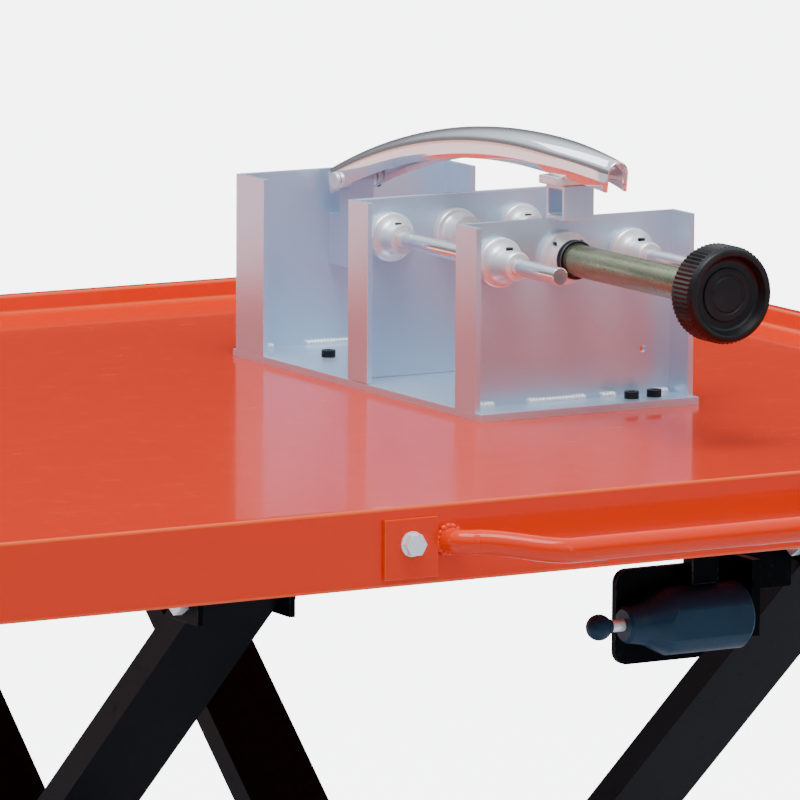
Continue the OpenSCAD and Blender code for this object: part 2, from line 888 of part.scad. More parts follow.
tray_deck();
rim_front();
rim_rear();
rim_left();
rim_right();
tray_stiffeners();
handle_bar();
handle_tabs();
handle_bolts();
handle_nuts();
base_plate();
base_bolts();
base_nuts();
front_post();
rear_post();
post_welds();
guide_bushes();
bush_screws();
thrust_flange();
flange_screws();
jaw_post();
guide_rods();
jaw_screw();
rod_collars();
collar_screws();
sleeve();
thrust_ring();
retaining_ring();
handwheel();
wheel_cap();
wheel_screw();
lever();
lever_bracket();
bracket_screws();
lever_pin();
lever_spacers();
pin_clip();
rest_block();
rest_pad();
front_legs();
rear_legs();
leg_brackets();
bracket_bolts();
leg_bolts();
pivot_bolts();
pivot_washers();
foot_tubes();
rubber_feet();
foot_plugs();
stretchers();
lock_post();
lock_plate();
lock_arm();
lock_housing();
lock_screws();
lock_plunger();
plunger_ball();
lock_spring();
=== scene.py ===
# %% [markdown]
# # A bench bender, finished in Blender
# The machine is a small clamping head of satin aluminium plates on an orange tray table. Its sizes,
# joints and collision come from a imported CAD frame, so this file only does what CAD is poor at: rounded
# edges, sheet-metal folds, threads, knurls, weld beads, and the finish of every surface.

# %% Load the frame and keep its box
import json
from math import atan2, cos, hypot, pi, radians, sin

import bmesh
import bpy
from mathutils import Matrix, Vector


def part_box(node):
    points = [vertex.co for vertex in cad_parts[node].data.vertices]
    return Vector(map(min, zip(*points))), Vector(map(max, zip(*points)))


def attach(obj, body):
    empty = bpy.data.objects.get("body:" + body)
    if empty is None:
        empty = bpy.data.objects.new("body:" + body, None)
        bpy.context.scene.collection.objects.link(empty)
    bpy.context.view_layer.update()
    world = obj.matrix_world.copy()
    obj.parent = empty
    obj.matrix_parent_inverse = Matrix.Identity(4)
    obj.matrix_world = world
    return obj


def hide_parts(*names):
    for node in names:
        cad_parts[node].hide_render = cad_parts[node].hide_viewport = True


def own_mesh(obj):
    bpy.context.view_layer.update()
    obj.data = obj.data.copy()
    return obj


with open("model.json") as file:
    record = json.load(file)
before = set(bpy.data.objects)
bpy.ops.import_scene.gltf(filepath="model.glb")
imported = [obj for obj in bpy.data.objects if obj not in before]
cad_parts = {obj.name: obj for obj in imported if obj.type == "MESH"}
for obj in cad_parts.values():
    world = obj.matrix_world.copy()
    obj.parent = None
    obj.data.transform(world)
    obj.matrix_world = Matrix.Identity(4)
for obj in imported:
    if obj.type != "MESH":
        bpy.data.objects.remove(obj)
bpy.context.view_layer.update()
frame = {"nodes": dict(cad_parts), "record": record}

MM = 0.001
BODY_OF = {node: body for body, nodes in frame["record"]["behaviour"]["bodies"].items() for node in nodes}
SLOT_OF = {row["node"]: row["material_slot"] for row in frame["record"]["subparts"]}

# %% [markdown]
# ## The camera
# A long lens from five metres away keeps the posts' edges nearly parallel, as a catalogue picture does.
# The camera is placed from an azimuth, an elevation and a distance, which are easier to think in than
# three coordinates, and it is tipped by a third of a degree to level the tray.

# %% Place the camera
VIEW_AZIMUTH = radians(-30.1)
VIEW_ELEVATION = radians(8.8)
VIEW_ROLL = radians(0.33)
VIEW_DISTANCE = 5.43
AIM = Vector((0.028, -0.085, 0.795))

towards_camera = Vector((
    sin(VIEW_AZIMUTH) * cos(VIEW_ELEVATION),
    -cos(VIEW_AZIMUTH) * cos(VIEW_ELEVATION),
    sin(VIEW_ELEVATION),
))
camera = bpy.data.objects.new("camera", bpy.data.cameras.new("camera"))
bpy.context.scene.collection.objects.link(camera)
camera.data.lens = 365
camera.data.clip_end = 60
turn = towards_camera.to_track_quat("Z", "Y").to_matrix().to_4x4()
camera.matrix_world = (
    Matrix.Translation(AIM + towards_camera * VIEW_DISTANCE) @ turn @ Matrix.Rotation(VIEW_ROLL, 4, "Z")
)
bpy.context.scene.camera = camera
print("camera at", [round(v, 2) for v in camera.matrix_world.translation])

# %% [markdown]
# ## Floor and light
# Chrome and bare aluminium show nothing but their surroundings, so the surroundings are designed. The
# sky is bright overhead and dim near the horizon: that keeps the glossy deck deep orange at a low
# viewing angle, where paint turns into a mirror, and it draws a dark band into the chrome. One lamp is
# narrow, so that curved pieces get a crisp streak. The backdrop itself is shown white, while what the
# metal sees stays dimmer.

# %% Floor, world and lamps
HEAD = Vector((0.16, 0.02, 0.85))
BACKDROP = 6.0
HORIZON = (0.045, 0.045, 0.05, 1)
ZENITH = (0.95, 1.04, 1.14, 1)


def area_lamp(name, place, size, power, tint=(1, 1, 1)):
    """A rectangular soft lamp at place, turned to face the clamping head."""
    lamp = bpy.data.lights.new(name, "AREA")
    lamp.shape = "RECTANGLE"
    lamp.size, lamp.size_y = size
    lamp.energy = power
    lamp.color = tint
    holder = bpy.data.objects.new(name, lamp)
    facing = (Vector(place) - HEAD).to_track_quat("Z", "Y").to_matrix().to_4x4()
    holder.matrix_world = Matrix.Translation(place) @ facing
    holder.visible_camera = False
    bpy.context.scene.collection.objects.link(holder)


area_lamp("key_lamp", (-0.5, -0.7, 3.6), (2.0, 1.6), 84)
area_lamp("fill_lamp", (2.8, -1.8, 1.7), (1.6, 1.4), 7, (0.85, 0.93, 1.0))
area_lamp("back_lamp", (-0.8, 2.2, 3.4), (3.0, 1.0), 24)
area_lamp("strip_lamp", (0.3, -2.6, 1.9), (0.2, 2.0), 5)
area_lamp("warm_card", (-1.3, 2.5, 0.55), (2.0, 0.9), 7, (1.0, 0.42, 0.30))


def lit_sky():
    """A world that brightens from the horizon to overhead, and is plain white behind the object."""
    sky = bpy.data.worlds.new("pale_studio")
    sky.use_nodes = True
    nodes, links = sky.node_tree.nodes, sky.node_tree.links
    place = nodes.new("ShaderNodeTexCoord")
    split = nodes.new("ShaderNodeSeparateXYZ")
    links.new(place.outputs["Generated"], split.inputs[0])
    height = nodes.new("ShaderNodeMapRange")
    height.interpolation_type = "SMOOTHSTEP"
    links.new(split.outputs["Z"], height.inputs["Value"])
    height.inputs["From Min"].default_value = 0.17
    height.inputs["From Max"].default_value = 0.62
    ray = nodes.new("ShaderNodeLightPath")
    shades = []
    for factor, first, second in [
        (height.outputs[0], HORIZON, ZENITH),
        (ray.outputs["Is Camera Ray"], None, (BACKDROP, BACKDROP, BACKDROP, 1)),
    ]:
        blend = nodes.new("ShaderNodeMix")
        blend.data_type = "RGBA"
        links.new(factor, blend.inputs[0])
        if first:
            blend.inputs[6].default_value = first
        else:
            links.new(shades[-1], blend.inputs[6])
        blend.inputs[7].default_value = second
        shades.append(blend.outputs[2])
    links.new(shades[-1], nodes["Background"].inputs["Color"])
    return sky


bpy.context.scene.world = lit_sky()

ground = bmesh.new()
bmesh.ops.create_grid(ground, x_segments=1, y_segments=1, size=14)
floor_mesh = bpy.data.meshes.new("floor")
ground.to_mesh(floor_mesh)
ground.free()
floor = bpy.data.objects.new("floor", floor_mesh)
bpy.context.scene.collection.objects.link(floor)

# %% [markdown]
# ## A small language for shaders
# A finish is a sum of patterns: grain, mottle, scratches, wear. Written as nodes it takes dozens of
# lines, so one class wraps a socket and lets ordinary Python arithmetic add the Math nodes. Anything
# that isn't arithmetic comes from `Finish.node`, which takes a node's type, its settings and its
# sockets' values.

# %% The socket wrapper
class Field:
    """One output socket; arithmetic on it adds Math nodes to its tree."""

    def __init__(self, tree, socket):
        self.tree = tree
        self.socket = socket

    def math(self, operation, *values):
        made = self.tree.nodes.new("ShaderNodeMath")
        made.operation = operation
        for place, value in zip(made.inputs, values):
            plug(self.tree, place, value)
        return Field(self.tree, made.outputs[0])

    def __add__(self, other):
        return self.math("ADD", self, other)

    __radd__ = __add__

    def __sub__(self, other):
        return self.math("SUBTRACT", self, other)

    def __rsub__(self, other):
        return self.math("SUBTRACT", other, self)

    def __mul__(self, other):
        return self.math("MULTIPLY", self, other)

    __rmul__ = __mul__

    def clip(self):
        held = self.math("ADD", self, 0)
        held.socket.node.use_clamp = True
        return held


def plug(tree, place, value):
    """Links a Field to a socket, or sets the socket to a plain value."""
    if isinstance(value, Field):
        tree.links.new(value.socket, place)
    elif isinstance(value, tuple) and len(value) == 3 and place.type == "RGBA":
        place.default_value = (*value, 1)
    else:
        place.default_value = value


class Finish:
    """A material being built: its node maker, its patterns and its Principled shader."""

    def __init__(self, name, **constants):
        self.material = bpy.data.materials.new(name)
        self.material.use_nodes = True
        self.tree = self.material.node_tree
        self.shader = self.tree.nodes["Principled BSDF"]
        self.place = self.node("ShaderNodeTexCoord", out="Object")
        self.set(**constants)

    def node(self, kind, settings=None, out=0, **sockets):
        made = self.tree.nodes.new(kind)
        for key, value in (settings or {}).items():
            setattr(made, key, value)
        for key, value in sockets.items():
            name = key.replace("_", " ")
            spot = made.inputs[int(key[1:])] if key[1:].isdigit() else made.inputs[name]
            plug(self.tree, spot, value)
        return Field(self.tree, made.outputs[out])

    def set(self, **sockets):
        for key, value in sockets.items():
            plug(self.tree, self.shader.inputs[key.replace("_", " ")], value)

    def stretched(self, factors):
        return self.node("ShaderNodeVectorMath", {"operation": "MULTIPLY"}, i0=self.place, i1=factors)

    def noise(self, scale, detail=3.0, rough=0.5, stretch=None):
        where = self.stretched(stretch) if stretch else self.place
        return self.node("ShaderNodeTexNoise", Vector=where, Scale=scale, Detail=detail, Roughness=rough)

    def cells(self, scale):
        return self.node("ShaderNodeTexVoronoi", {"feature": "F1"}, Vector=self.place, Scale=scale)

    def ramp(self, value, low, high):
        """0 below low, 1 above high, straight between."""
        return self.node(
            "ShaderNodeMapRange", {"clamp": True}, i0=value, i1=low, i2=high, i3=0.0, i4=1.0
        )

    def mix(self, factor, first, second):
        return self.node(
            "ShaderNodeMix", {"data_type": "RGBA"}, out=2, i0=factor, i6=first, i7=second
        )

    def edge_wear_and_highlight(self):
        """1 on the faces that rounding made along an edge, 0 elsewhere."""
        return self.node("ShaderNodeAttribute", {"attribute_name": "edge"}, out="Fac")

    def bump(self, height, depth, strength=1.0):
        """Raises the surface by height times depth, in metres."""
        raised = self.node("ShaderNodeBump", Height=height, Distance=depth, Strength=strength)
        self.set(Normal=raised)


print("shader helpers ready")

# %% [markdown]
# ## Orange powder coat
# Powder coat is a thick glossy skin with a soft ripple, called orange peel, a millimetre or two across.
# It wears thin on folded edges, and a table top also collects fine scuffs and dust, which show as
# changes in roughness more than in colour.

# %% Orange powder coat
def scratches(finish, scale, stretch, width=0.012):
    """Thin wandering lines: where a stretched noise crosses its middle value."""
    off_middle = finish.noise(scale, 2.0, 0.4, stretch=stretch) - 0.5
    return 1 - finish.ramp(off_middle.math("ABSOLUTE", off_middle), 0.0, width)


def orange_powder_coat():
    finish = Finish(
        "orange_powder_coat", Metallic=0.0, Coat_Roughness=0.04, IOR=1.42, Specular_IOR_Level=0.25
    )
    cloud = finish.noise(3.0, 2.0, 0.5)
    peel = finish.noise(380.0, 2.0, 0.5)
    scuff = scratches(finish, 9.0, (1.0, 7.0, 1.0)) * finish.ramp(finish.noise(14.0), 0.5, 0.62)
    dust = finish.ramp(finish.noise(45.0, 6.0, 0.7), 0.55, 0.75)
    edge = finish.edge_wear_and_highlight()
    deep = finish.mix(cloud, (0.84, 0.028, 0.0001), (0.90, 0.040, 0.0002))
    dusty = finish.mix(dust * 0.02, deep, (0.86, 0.42, 0.22))
    finish.set(
        Base_Color=finish.mix(edge * 0.3, dusty, (0.95, 0.24, 0.05)),
        Roughness=0.17 + dust * 0.05 + scuff * 0.10,
        Coat_Weight=0.32 - dust * 0.10,
    )
    finish.bump(peel - scuff * 0.2, 0.000012)
    return finish.material


# %% [markdown]
# ## Satin aluminium
# Rolled plate has a fine grain along the rolling direction. Here it runs up the posts. The grain is
# noise stretched along one axis. Real aluminium is fully metallic. This finish is only part metallic,
# a choice made for its look: beside an orange deck a true metal turns orange, and this keeps a cool
# grey. The rounded edges are painted near-white, a painted highlight along every edge, and a few faint
# wipes change the roughness.

# %% Satin aluminium
def satin_aluminium():
    finish = Finish("satin_aluminium", Metallic=0.58, Specular_IOR_Level=0.4)
    grain = finish.noise(1900.0, 2.0, 0.5, stretch=(1.0, 1.0, 0.02))
    cloud = finish.noise(24.0, 4.0, 0.6)
    wipe = finish.ramp(finish.noise(34.0, 3.0, 0.6, stretch=(0.3, 0.3, 1.0)), 0.45, 0.8)
    edge = finish.edge_wear_and_highlight()
    plate = finish.mix(cloud, (0.58, 0.74, 0.91), (0.67, 0.81, 0.95))
    finish.set(
        # The rounded edges are painted near-white: a painted highlight along the plates' edges.
        Base_Color=finish.mix(edge, plate, (0.94, 0.95, 0.97)),
        Roughness=0.27 + grain * 0.05 + wipe * 0.04 - edge * 0.06,
    )
    finish.bump(grain, 0.0000015)
    return finish.material


# %% [markdown]
# ## Chrome, zinc and black steel
# Chrome is a mirror with a faint haze. Bright zinc is duller and shows a spangle of small crystals, and
# the yellow-passivated kind shifts between olive and straw as its film varies in thickness. These
# three are also set less than fully metallic, for brightness and not for truth. Black oxide is thin, so
# bare steel shines through at the edges.

# %% Chrome
def chrome_plate():
    finish = Finish("chrome_plate", Metallic=0.8)
    haze = finish.noise(38.0, 4.0, 0.6)
    polish = finish.noise(1500.0, 2.0, 0.5, stretch=(1.0, 0.04, 1.0))
    finish.set(
        Base_Color=finish.mix(haze, (0.90, 0.94, 0.97), (0.96, 0.98, 1.0)),
        Roughness=0.07 + finish.ramp(haze, 0.45, 0.75) * 0.08,
    )
    finish.bump(polish, 0.000004)
    return finish.material


# %% Bright zinc
def bright_zinc():
    finish = Finish("bright_zinc", Metallic=0.5)
    spangle = finish.cells(330.0)
    stain = finish.ramp(finish.noise(130.0, 4.0, 0.6), 0.55, 0.8)
    edge = finish.edge_wear_and_highlight()
    plated = finish.mix(spangle, (0.92, 0.95, 0.97), (0.97, 0.98, 0.99))
    bright = finish.mix(edge * 0.6, plated, (0.93, 0.93, 0.94))
    finish.set(
        Base_Color=finish.mix(stain * 0.35, bright, (0.50, 0.51, 0.53)),
        Roughness=0.30 + spangle * 0.12 + stain * 0.12,
    )
    finish.bump(spangle, 0.00002)
    return finish.material


# %% Yellow-passivated zinc
def yellow_zinc():
    finish = Finish("yellow_zinc", Metallic=0.75)
    film = finish.noise(26.0, 4.0, 0.6, stretch=(1.0, 0.7, 1.0))
    rings = finish.noise(1500.0, 2.0, 0.5, stretch=(0.03, 1.0, 0.03))
    rub = finish.ramp(finish.noise(70.0, 5.0, 0.7, stretch=(1.0, 0.2, 1.0)), 0.52, 0.7)
    straw = finish.mix(film, (0.19, 0.23, 0.13), (0.34, 0.39, 0.26))
    rosy = finish.mix(finish.ramp(film, 0.48, 0.66) * 0.15, straw, (0.46, 0.34, 0.26))
    finish.set(
        Base_Color=finish.mix(rub * 0.3, rosy, (0.66, 0.64, 0.52)),
        Roughness=0.22 + rings * 0.12 + rub * 0.12,
    )
    finish.bump(rings, 0.00002)
    return finish.material


# %% Black oxide
def black_oxide():
    finish = Finish("black_oxide", Metallic=1.0)
    mottle = finish.noise(300.0, 4.0, 0.6)
    edge = finish.edge_wear_and_highlight()
    dark = finish.mix(mottle, (0.018, 0.018, 0.022), (0.05, 0.05, 0.058))
    finish.set(
        Base_Color=finish.mix(edge * 0.55, dark, (0.32, 0.32, 0.34)),
        Roughness=0.34 + mottle * 0.2,
    )
    finish.bump(mottle, 0.00002)
    return finish.material


# %% [markdown]
# ## Paints, plastic and rubber
# The legs wear a satin black paint, scuffed grey where they are knocked. The lock housing is a casting,
# so its dark blue paint lies over a pebbled skin. The handwheel is moulded, which leaves a fine stipple
# and a slight sheen, and the rubber feet are dull with grey dust in the pores.

# %% Black paint
def black_paint():
    finish = Finish("black_paint", Metallic=0.0, IOR=1.35, Specular_IOR_Level=0.06)
    peel = finish.noise(520.0, 2.0, 0.5)
    knock = finish.ramp(finish.noise(90.0, 6.0, 0.75), 0.60, 0.68)
    edge = finish.edge_wear_and_highlight()
    chipped = (edge * finish.ramp(finish.noise(160.0, 4.0, 0.7), 0.42, 0.6)).clip()
    paint = finish.mix(finish.noise(12.0), (0.0015, 0.0018, 0.0025), (0.004, 0.0045, 0.006))
    scuffed = finish.mix(knock * 0.3, paint, (0.03, 0.03, 0.034))
    finish.set(
        Base_Color=finish.mix(chipped * 0.6, scuffed, (0.12, 0.12, 0.13)),
        Roughness=0.38 + knock * 0.25,
    )
    finish.bump(peel - chipped * 0.6, 0.00006)
    return finish.material


# %% Dark blue casting
def blue_casting():
    finish = Finish("blue_casting", Metallic=0.0, Coat_Roughness=0.2, Specular_IOR_Level=0.2)
    pebble = finish.noise(260.0, 5.0, 0.6)
    pits = finish.cells(420.0)
    edge = finish.edge_wear_and_highlight()
    paint = finish.mix(finish.noise(30.0, 4.0), (0.0015, 0.018, 0.038), (0.003, 0.034, 0.068))
    finish.set(
        Base_Color=finish.mix(edge * 0.3, paint, (0.02, 0.08, 0.13)),
        Roughness=0.38 + pebble * 0.15,
        Coat_Weight=0.10 - finish.ramp(pebble, 0.5, 0.8) * 0.06,
    )
    finish.bump(pebble + pits * 0.3, 0.00018)
    return finish.material


# %% Moulded handwheel plastic
def wheel_plastic():
    finish = Finish("wheel_plastic", Metallic=0.0, IOR=1.5, Specular_IOR_Level=0.3)
    stipple = finish.noise(1400.0, 3.0, 0.6)
    bloom = finish.ramp(finish.noise(45.0, 5.0, 0.65), 0.5, 0.75)
    edge = finish.edge_wear_and_highlight()
    moulded = finish.mix(bloom * 0.4, (0.008, 0.008, 0.009), (0.030, 0.030, 0.033))
    finish.set(
        Base_Color=finish.mix(edge * 0.25, moulded, (0.09, 0.09, 0.095)),
        Roughness=0.30 + stipple * 0.10 + bloom * 0.12,
    )
    finish.bump(stipple, 0.00003)
    return finish.material


# %% Rubber
def rubber():
    finish = Finish("rubber", Metallic=0.0)
    pores = finish.cells(700.0)
    dust = finish.ramp(finish.noise(120.0, 6.0, 0.75), 0.5, 0.75)
    finish.set(
        Base_Color=finish.mix(dust * 0.5, (0.014, 0.014, 0.014), (0.09, 0.085, 0.08)),
        Roughness=0.62 + dust * 0.25,
    )
    finish.bump(pores, 0.00008)
    return finish.material


# %% Pale floor
def pale_floor():
    """A matt floor that is white to the eye, and dimmer in what the metal mirrors."""
    finish = Finish("pale_floor", Metallic=0.0, Roughness=0.7, Emission_Strength=BACKDROP)
    seen = finish.node("ShaderNodeLightPath", out="Is Camera Ray")
    finish.set(
        Base_Color=finish.mix(finish.noise(2.0), (0.74, 0.78, 0.84), (0.78, 0.82, 0.87)),
        Emission_Color=finish.mix(seen, (0.0, 0.0, 0.0), (0.9, 0.9, 0.9)),
    )
    return finish.material


MATERIAL = {
    "orange_paint": orange_powder_coat(),
    "alloy": satin_aluminium(),
    "chrome": chrome_plate(),
    "zinc": bright_zinc(),
    "yellow_zinc": yellow_zinc(),
    "black_oxide": black_oxide(),
    "wheel_plastic": wheel_plastic(),
    "black_paint": black_paint(),
    "blue_paint": blue_casting(),
    "rubber": rubber(),
}
floor_mesh.materials.append(pale_floor())
print("finishes:", ", ".join(MATERIAL))

# %% [markdown]
# ## Rounding every CAD edge
# A CAD edge is perfectly sharp and catches no light. Real plate is deburred and real castings have
# radii. Each node is copied, its loose triangles are merged, flat neighbours are dissolved into one
# face, and the edges that turn by more than a set angle are bevelled. The new faces carry an attribute
# named `edge`, which most finishes read as wear, and the satin aluminium as a painted highlight.

# %% The rounding tool
FLAT = radians(1.0)
SHARP = radians(28.0)


def finished(shape, name, body, slot, nodes=(), smooth=True, wall=0.0):
    """Turns a bmesh into a piece that rides on a body, wears a slot's finish and stands for CAD nodes."""
    mesh = bpy.data.meshes.new(name)
    shape.to_mesh(mesh)
    shape.free()
    mesh.materials.append(MATERIAL[slot])
    if smooth:
        mesh.set_sharp_from_angle(angle=SHARP)
        mesh.polygons.foreach_set("use_smooth", [True] * len(mesh.polygons))
    piece = bpy.data.objects.new(name, mesh)
    bpy.context.scene.collection.objects.link(piece)
    if wall:
        sheet = piece.modifiers.new("sheet", "SOLIDIFY")
        sheet.thickness = wall
        sheet.offset = -1
    if smooth:
        shade = piece.modifiers.new("flat_faces_stay_flat", "WEIGHTED_NORMAL")
        shade.keep_sharp = True
    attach(piece, body)
    if nodes:
        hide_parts(*nodes)
    return piece


def merged_copy(node):
    """A CAD node's triangles as one clean bmesh."""
    shape = bmesh.new()
    shape.from_mesh(frame["nodes"][node].data)
    bmesh.ops.remove_doubles(shape, verts=shape.verts, dist=1e-6)
    bmesh.ops.dissolve_limit(shape, angle_limit=FLAT, verts=shape.verts, edges=shape.edges)
    return shape


def round_edges(shape, width, segments=2):
    """Bevels the sharp edges and marks the faces that it makes."""
    mark = shape.faces.layers.float.new("edge")
    chosen = [e for e in shape.edges if len(e.link_faces) == 2 and e.calc_face_angle(0.0) > SHARP]
    made = bmesh.ops.bevel(
        shape, geom=chosen, affect="EDGES", offset=width, offset_type="OFFSET", segments=segments,
        profile=0.5, material=-1, clamp_overlap=True,
    )
    for face in made["faces"]:
        face[mark] = 1.0
    return shape


def refine(node, width):
    """Replaces a CAD node with a copy whose edges are rounded."""
    shape = round_edges(merged_copy(node), width)
    return finished(shape, node + "_rounded", BODY_OF[node], SLOT_OF[node], [node])


print("rounding", round(FLAT, 3), "to", round(SHARP, 3), "radians")

# %% Round the plates, castings and small parts
EDGE_WIDTH = {
    0.8: ["base_plate", "front_post", "rear_post", "jaw_post", "rest_block", "handle_tabs", "lock_post",
          "lock_plate", "lock_arm", "tray_stiffeners"],
    1.2: ["lever_bracket", "rest_pad", "leg_brackets", "lock_housing"],
    3.0: ["front_legs", "rear_legs"],
    0.6: ["thrust_flange", "guide_rods", "sleeve", "thrust_ring", "retaining_ring", "pivot_washers",
          "lever_spacers", "lever_pin", "foot_tubes", "stretchers"],
    0.4: ["base_bolts", "base_nuts", "handle_nuts", "handle_bolts", "bracket_bolts", "leg_bolts",
          "pivot_bolts", "bracket_screws", "wheel_screw", "lock_screws", "lock_plunger"],
    0.25: ["bush_screws", "collar_screws", "flange_screws", "pin_clip"],
    1.5: ["foot_plugs"],
}
for width_mm, nodes in EDGE_WIDTH.items():
    for node in nodes:
        refine(node, width_mm * MM)
print("rounded nodes:", sum(len(nodes) for nodes in EDGE_WIDTH.values()))

# %% [markdown]
# ## The folded tray
# The table top is one sheet of steel: a flat deck, a raised lip all round and a skirt folded down. CAD
# holds it as five strips with sharp mitres. Here it is a stack of outlines, each a rectangle with
# rounded corners at its own inset and height: the hem, the skirt, the lip and the well. Quads from one
# outline to the next make the walls. The folds are then bevelled, because sheet steel can't bend to a
# knife edge, and Solidify gives the sheet its thickness.

# %% Fold the tray
def rounded_outline(shape, low, high, inset, z, corner=9 * MM, steps=6):
    """The corners of one rounded rectangle, drawn inset from a box's sides at height z."""
    radius = max(2 * MM, corner - inset)
    verts = []
    for k in range(4):
        side = Vector((1 if k in (0, 3) else -1, 1 if k < 2 else -1))
        x = (high.x - inset - radius) if side.x > 0 else (low.x + inset + radius)
        y = (high.y - inset - radius) if side.y > 0 else (low.y + inset + radius)
        for n in range(steps + 1):
            angle = pi / 2 * (k + n / steps)
            verts.append(shape.verts.new((x + radius * cos(angle), y + radius * sin(angle), z)))
    return verts


def tray_shell():
    low = Vector((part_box("rim_front")[0].x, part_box("rim_front")[0].y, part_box("rim_front")[0].z))
    high = Vector((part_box("rim_front")[1].x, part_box("rim_rear")[1].y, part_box("rim_front")[1].z))
    deck_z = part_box("tray_deck")[1].z
    hem, lip, lip_foot = 10, 10.5, 12
    levels = [(hem, low.z), (0, low.z), (0, high.z), (lip, high.z), (lip_foot, deck_z)]
    shape = bmesh.new()
    loops = [rounded_outline(shape, low, high, inset * MM, z) for inset, z in levels]
    for first, second in zip(loops, loops[1:]):
        for k in range(len(first)):
            shape.faces.new((first[k - 1], first[k], second[k], second[k - 1]))
    shape.faces.new(loops[-1])
    bmesh.ops.recalc_face_normals(shape, faces=shape.faces)
    if max(shape.faces, key=lambda face: face.calc_area()).normal.z < 0:
        bmesh.ops.reverse_faces(shape, faces=shape.faces)
    round_edges(shape, 2.2 * MM, segments=4)
    return finished(
        shape, "tray_shell", "table", "orange_paint",
        ["tray_deck", "rim_front", "rim_rear", "rim_left", "rim_right"], wall=2.5 * MM,
    )


tray = tray_shell()
print("tray faces:", len(tray.data.polygons))

# %% [markdown]
# ## The bowed handle
# The handle is a steel tube: straight in front, drawn in towards the table at both sides, and turned in
# at the ends, where it is welded on beside its tabs. It is built as a row of rings that follow the
# bar's middle line, each a circle turned to face along the line. Bridging the rings gives one even skin
# with soft bends, which a chain of hulls can't.

# %% Bend the handle
def ease(value):
    """0 below 0, 1 above 1, and a smooth S between."""
    held = min(1.0, max(0.0, value))
    return held * held * (3 - 2 * held)


def handle_line():
    """Points along the handle's middle line, from the left end to the right."""
    low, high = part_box("handle_bar")
    radius = 8 * MM
    rim_y, bar_y, bar_z = high.y, low.y + radius, low.z + radius
    bolt_low, bolt_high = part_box("handle_bolts")
    end_z = (bolt_low.z + bolt_high.z) / 2
    end_x, near_y, bend = high.x - radius, rim_y - 15 * MM, 11 * MM
    straight = end_x - 62 * MM
    half = [Vector((straight * k / 4, bar_y, bar_z)) for k in range(5)]
    slope_to = Vector((end_x - bend, near_y - 2 * MM, end_z))
    for k in range(1, 15):
        drawn = k / 14
        half.append(Vector((
            straight + (slope_to.x - straight) * drawn,
            bar_y + (slope_to.y - bar_y) * (0.25 * ease(drawn) + 0.75 * drawn ** 1.35),
            bar_z + (slope_to.z - bar_z) * ease(drawn),
        )))
    for k in range(1, 8):
        angle = pi / 2 * k / 7
        half.append(Vector((slope_to.x + bend * sin(angle), slope_to.y + bend * (1 - cos(angle)), end_z)))
    half.append(Vector((end_x, rim_y - 0.2 * MM, end_z)))
    return [Vector((-p.x, p.y, p.z)) for p in reversed(half[1:])] + half


def handle_tube():
    line = handle_line()
    shape = bmesh.new()
    rings = []
    for k, place in enumerate(line):
        ahead = line[min(k + 1, len(line) - 1)] - line[max(k - 1, 0)]
        facing = ahead.to_track_quat("Z", "Y").to_matrix().to_4x4()
        ring = bmesh.ops.create_circle(
            shape, segments=28, radius=8 * MM, matrix=Matrix.Translation(place) @ facing
        )["verts"]
        rings.append(list({edge for vert in ring for edge in vert.link_edges}))
    for first, second in zip(rings, rings[1:]):
        bmesh.ops.bridge_loops(shape, edges=first + second)
    bmesh.ops.holes_fill(shape, edges=[e for e in shape.edges if e.is_boundary], sides=0)
    bmesh.ops.recalc_face_normals(shape, faces=shape.faces)
    return finished(shape, "handle_tube", "table", "orange_paint", ["handle_bar"])


handle = handle_tube()
print("handle faces:", len(handle.data.polygons))

# %% [markdown]
# The ends are welded on, and paint has softened the weld into a smooth collar. A ring of small
# overlapping balls round each end stands for it.

# %% Weld the handle's ends
def weld_ring(shape, centre, radius, beads, size):
    """A ring of slightly uneven beads in the plane of the rim."""
    for k in range(beads):
        angle = 2 * pi * k / beads
        place = centre + Vector((cos(angle), 0, sin(angle))) * radius
        squash = Matrix.Diagonal((1, 0.8, 1, 1))
        bead = size * (1 + 0.12 * sin(5.1 * k))
        bmesh.ops.create_icosphere(
            shape, subdivisions=2, radius=bead, matrix=Matrix.Translation(place) @ squash
        )


collar_welds = bmesh.new()
for end in (handle_line()[0], handle_line()[-1]):
    weld_ring(collar_welds, end - Vector((0, 1.2 * MM, 0)), 8.2 * MM, 15, 2.6 * MM)
finished(collar_welds, "handle_welds", "table", "orange_paint")
print("handle ends welded")

# %% [markdown]
# ## Turned parts
# Bushes, collars, the handwheel, the ball and the feet come off a lathe or out of a round mould, so one
# tool makes them: it draws half of the section as a chain of vertices and spins it round an axis. CAD
# has square steps where a casting has a soft fillet, so the sections here carry the fillets.

# %% The lathe
def turned(shape, section, centre, axis=(0, 1, 0), steps=64, closed=False):
    """Spins a section, given as (distance along the axis, radius) in millimetres, into a bmesh."""
    along = Vector(axis).normalized()
    outward = along.orthogonal().normalized()
    before = set(shape.verts)
    points = [shape.verts.new(Vector(centre) + (along * a + outward * r) * MM) for a, r in section]
    chain = [shape.edges.new(pair) for pair in zip(points, points[1:])]
    if closed:
        chain.append(shape.edges.new((points[-1], points[0])))
    bmesh.ops.spin(
        shape, geom=points + chain, cent=centre, axis=along, angle=2 * pi, steps=steps, use_merge=True
    )
    made = [v for v in shape.verts if v not in before]
    bmesh.ops.remove_doubles(shape, verts=made, dist=1e-6)
    made = [v for v in shape.verts if v not in before]
    faces = {face for vert in made for face in vert.link_faces}
    bmesh.ops.recalc_face_normals(shape, faces=list(faces))
    return made


SCREW_X = (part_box("handwheel")[0].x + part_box("handwheel")[1].x) / 2
SCREW_Z = (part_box("handwheel")[0].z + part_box("handwheel")[1].z) / 2
ROD_X = [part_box("guide_rods")[0].x + 6 * MM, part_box("guide_rods")[1].x - 6 * MM]
print("screw and rods at X:", round(SCREW_X, 4), [round(x, 4) for x in ROD_X])

